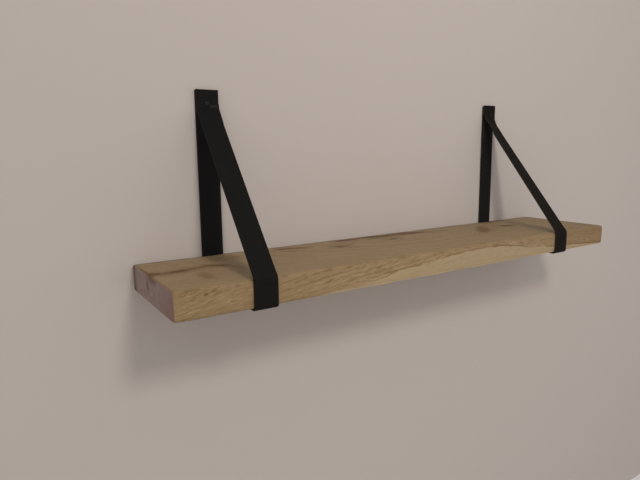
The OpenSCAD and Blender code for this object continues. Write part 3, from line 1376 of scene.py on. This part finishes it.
@dataclass
class PanScrew:
    """A pan-head screw with a cross recess and a rolled thread."""

    node: str
    diameter: float
    length: float
    head_d: float
    head_h: float
    pitch: float
    place: Matrix
    sides: int = 24
    # The long and the short side of the cross's arms, as shares of the head's width
    arm_long: float = 0.55
    arm_slim: float = 0.15
    # The core between the threads and the length of the point, as shares of the thread's
    # radius and of the diameter
    core: float = 0.72
    point: float = 1.6
    finish: Finish = field(default_factory=BlackenedSteel)

    def build(self) -> None:
        """Makes the screw, sets it in its place and dresses it."""
        work = cut_away(self._head(), [self._recess(turn) for turn in (0.0, 90.0)])
        carrier = bpy.data.meshes.new("carrier")
        thread = self._thread()
        thread.to_mesh(carrier)
        thread.free()
        work.from_mesh(carrier)
        bpy.data.meshes.remove(carrier)
        hand_in(f"{self.node}_threaded", work, 38.0, self.finish, self.node,
                self.place)

    def _head(self) -> Mesh:
        """Turns the head.

        Returns:
            The head, with its seat at height 0 and its crown below it.
        """
        rim = 0.4 * self.head_h
        crown = self.head_h - rim
        outer = self.head_d / 2
        radius = (0.25 * self.head_d ** 2 + crown ** 2) / (2 * crown)
        half = math.asin(outer / radius)
        turns = [half * (1 - k / 8) for k in range(1, 9)]
        return turned([(0.0, 0.0), (outer - 0.2, 0.0), (outer, -0.2), (outer, -rim + 0.15),
                       *[(radius * math.sin(turn), radius - self.head_h
                          - radius * math.cos(turn)) for turn in turns]])

    def _recess(self, turn: float) -> Mesh:
        """Makes the cutter of one arm of the cross, wider at its mouth than at its foot.

        Args:
            turn: Which way the arm goes, in degrees.

        Returns:
            The cutter.
        """
        work = board(self.arm_long * self.head_d, self.arm_slim * self.head_d,
                     1.1 * self.head_h)
        for vert in work.verts:
            if vert.co.z > 0:
                vert.co.x *= 0.62
                vert.co.y *= 0.72
        return swung(shifted(work, 0.0, 0.0, -self.head_h), turn, "Z")

    def _thread(self) -> Mesh:
        """Rolls the threaded shank: one pitch of its outline, wound up to the point.

        Returns:
            The shank, standing on height 0.
        """
        crest = self.diameter / 2 - 0.02
        core = self.core * crest
        pitch = self.pitch
        work = bmesh.new()
        verts, edges = profile(work, [(r, share * pitch - pitch) for r, share in (
            (core, 0.0), (core, 0.52), (crest, 0.74), (crest, 0.78), (core, 1.0))])
        turns = math.ceil(self.length / pitch) + 1
        bmesh.ops.spin(work, geom=[*verts, *edges], cent=(0, 0, 0), axis=(0, 0, 1),
                       dvec=(0, 0, pitch / self.sides), angle=turns * 2 * math.pi,
                       steps=turns * self.sides, use_merge=False)
        point = self.point * self.diameter
        for vert in work.verts:
            height = min(max(vert.co.z, 0.05), self.length - 0.02)
            around = Vector((vert.co.x, vert.co.y))
            start = eased((height - 0.5 * self.diameter) / pitch)
            radius = core + (around.length - core) * start
            radius *= 1.0 - 0.85 * max(height - self.length + point, 0.0) / point
            around = around.normalized() * radius
            vert.co = (around.x, around.y, height)
        bmesh.ops.remove_doubles(work, verts=work.verts, dist=0.004)
        bmesh.ops.holes_fill(work, edges=[e for e in work.edges if e.is_boundary], sides=0)
        return work


@dataclass
class WallPlug:
    """A nylon plug in the wall, ribbed and split so that the screw spreads it."""

    side: Side
    diameter: float = 8.0
    length: float = 40.0
    bore: float = 5.2
    nose: float = 1.5
    split_from: float = 14.0
    split_w: float = 0.8
    first_rib: float = 4.0
    rib: float = 3.0
    groove: float = 0.35
    finish: Finish = field(default_factory=GreyNylon)

    def build(self) -> None:
        """Makes the plug, sets it in the wall and dresses it."""
        work = turned(self._outline())
        bmesh.ops.recalc_face_normals(work, faces=work.faces)
        work = swung(cut_away(work, [self._slit(turn) for turn in (45.0, 135.0)]), -90.0, "X")
        word = self.side.word
        hand_in(f"nylon_plug_{word}", shifted(work, self.side.value, 0.0, 0.0), 38.0,
                self.finish, f"wall_plug_{word}")

    def _outline(self) -> list[tuple[float, float]]:
        """Draws the plug's wall in section, with saw-tooth ribs that hold against a pull.

        Returns:
            Radius and height of each point.
        """
        outer, at = self.diameter / 2, self.first_rib
        made = [(self.bore / 2, 0.0), (outer - 0.2, 0.0), (outer, 0.2), (outer, at)]
        while at + self.rib < self.length - self.nose - 1.0:
            made += [(outer - self.groove, at + 0.3), (outer, at + self.rib)]
            at += self.rib
        return [*made, (outer, self.length - self.nose), (outer - self.nose / 2, self.length),
                (self.bore / 2, self.length)]

    def _slit(self, turn: float) -> Mesh:
        """Makes the cutter of one of the crossed slits of the far end."""
        long = self.length - self.split_from + 1.0
        return swung(shifted(board(2 * self.diameter, self.split_w, long), 0.0, 0.0,
                             self.split_from + long / 2), turn, "Z")


@dataclass
class Studio:
    """The pale wall and floor, the soft lamp and the camera. Sizes here are metres."""

    camera_at: Triple = (-0.325616, -0.840166, -0.075802)
    camera_turn: Triple = (80.17514, 0.48497, -33.21112)
    lens: float = 29.1991
    middle_x: float = 0.3
    wall_y: float = 0.0004
    floor_z: float = -1.3
    floor_colour: str = "e4e0dc"
    reach: float = 6.0
    ambient_low: float = 1.0
    ambient_high: float = 0.42
    ambient_colour: str = "fcfbfd"
    key_at: Triple = (0.03, -1.6, 0.81)
    key_aim: Triple = (0.3, -0.1, -0.2)
    key_size: float = 0.34
    key_power: float = 12.0
    key_colour: str = "fffaf4"

    def build(self) -> None:
        """Sets up the stage, the light and the camera."""
        self._stage("backdrop", StudioPaint(one_sided=True),
                    Matrix.Translation((self.middle_x, self.wall_y, 0.0))
                    @ Matrix.Rotation(math.radians(90.0), 4, "X"))
        self._stage("floor", StudioPaint("floor_paint", self.floor_colour),
                    Matrix.Translation((self.middle_x, 0.0, self.floor_z)))
        self._sky()
        self._lamp()
        self._camera()

    def _stage(self, name: str, finish: Finish, place: Matrix) -> None:
        """Lays one large sheet of the stage.

        Args:
            name: Its name.
            finish: Its paint.
            place: Where it lies.
        """
        work = bmesh.new()
        bmesh.ops.create_grid(work, x_segments=1, y_segments=1, size=self.reach)
        bmesh.ops.transform(work, matrix=place, verts=work.verts)
        mesh = bpy.data.meshes.new(name)
        work.to_mesh(mesh)
        work.free()
        mesh.materials.append(finish.material())
        in_scene(name, mesh)

    def _sky(self) -> None:
        """Lights the scene evenly, and shows the pale colour of the stage behind it."""
        world = bpy.data.worlds.new("studio")
        bpy.context.scene.world = world
        world.use_nodes = True
        world.node_tree.nodes.clear()
        put = partial(add, world.node_tree)
        up = put("SeparateXYZ", put("TexCoord", out="Generated"), out="Z")
        light = put("Background", linear(self.ambient_colour), put(
            "MapRange", up, 0.0, 1.0, self.ambient_low, self.ambient_high))
        backdrop = put("Background", linear(StudioPaint.colour))
        put("OutputWorld", put("MixShader", seen_ray(world.node_tree), light, backdrop))

    def _lamp(self) -> None:
        """Hangs the one soft lamp, in front of the shelf and above it."""
        lamp = bpy.data.lights.new("key", "AREA")
        lamp.shape = "DISK"
        lamp.size = self.key_size
        lamp.energy = self.key_power
        lamp.color = linear(self.key_colour)[:3]
        made = in_scene("key", lamp)
        made.location = self.key_at
        towards = Vector(self.key_aim) - Vector(self.key_at)
        made.rotation_euler = towards.to_track_quat("-Z", "Y").to_euler()

    def _camera(self) -> None:
        """Puts the camera where the photograph was taken from."""
        lens = bpy.data.cameras.new("camera")
        lens.sensor_fit = "HORIZONTAL"
        lens.sensor_width = 36.0
        lens.lens = self.lens
        lens.clip_start = 0.01
        made = in_scene("camera", lens)
        made.location = self.camera_at
        made.rotation_euler = Euler([math.radians(a) for a in self.camera_turn], "XYZ")
        bpy.context.scene.camera = made
        bpy.context.scene.view_settings.view_transform = "Standard"


def straps() -> list[Strap]:
    """Lists the two loops, each as it has settled.

    Returns:
        The left loop and the right one.
    """
    return [
        Strap(Side.LEFT, lean=(0.0, 0.0, -3.6), twist=(3.3, 1.0), lift=(0.3, 2.4),
              stand_off=(-0.7, 1.2), curl=(0.8, 3.0), curl_reach=46.0, crease_highlight=1.0,
              route=StrapRoute(tab_top=23.2)),
        Strap(Side.RIGHT, lean=(-2.0, 0.6, -1.9), twist=(2.9, 9.7), lift=(0.0, 0.4),
              stand_off=(-1.2, -0.4), curl=(5.5, 0.7), curl_reach=60.0, crease_highlight=0.15,
              # The right loop's leather is a lit copy: its browner face and paler cut edge are
              # painted light falling on that loop
              finish=BlackLeather("black_leather_lit_copy", grain_side="171411",
                                  cut_edge="2c2824"))]


def screws() -> list[PanScrew]:
    """Lists the two wall screws and the two plank screws.

    Returns:
        The screws, each with its place in metres.
    """
    made = []
    into_wall = Matrix.Rotation(math.radians(-90.0), 4, "X")
    coats = {Side.LEFT: BlackenedSteel(),
             Side.RIGHT: BlackenedSteel("black_coated_steel_unworn", rubbed=0.05)}
    below = StrapRoute.base - StrapRoute.thickness
    for side, coat in coats.items():
        made.append(PanScrew(
            f"wall_screw_{side.word}", diameter=5.0, length=50.0, head_d=9.5, head_h=3.4,
            pitch=2.4, finish=coat, place=Matrix.Translation(
                (side.value * MM, -StrapRoute.tab_front * MM, 0.0)) @ into_wall))
        made.append(PanScrew(
            f"plank_screw_{side.word}", diameter=3.5, length=16.0, head_d=7.0, head_h=2.4,
            pitch=1.6, place=Matrix.Translation(
                (side.value * MM, MIDDLE_Y * MM, below * MM))))
    return made


def main() -> None:
    """Builds the shelf piece by piece, and then the studio round it."""
    logging.basicConfig(level=logging.INFO, format="%(name)s: %(message)s")
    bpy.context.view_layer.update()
    for part in (Plank(), *straps(), *[WallPlug(side) for side in Side], *screws(), Studio()):
        part.build()


if __name__ == "__main__":
    main()
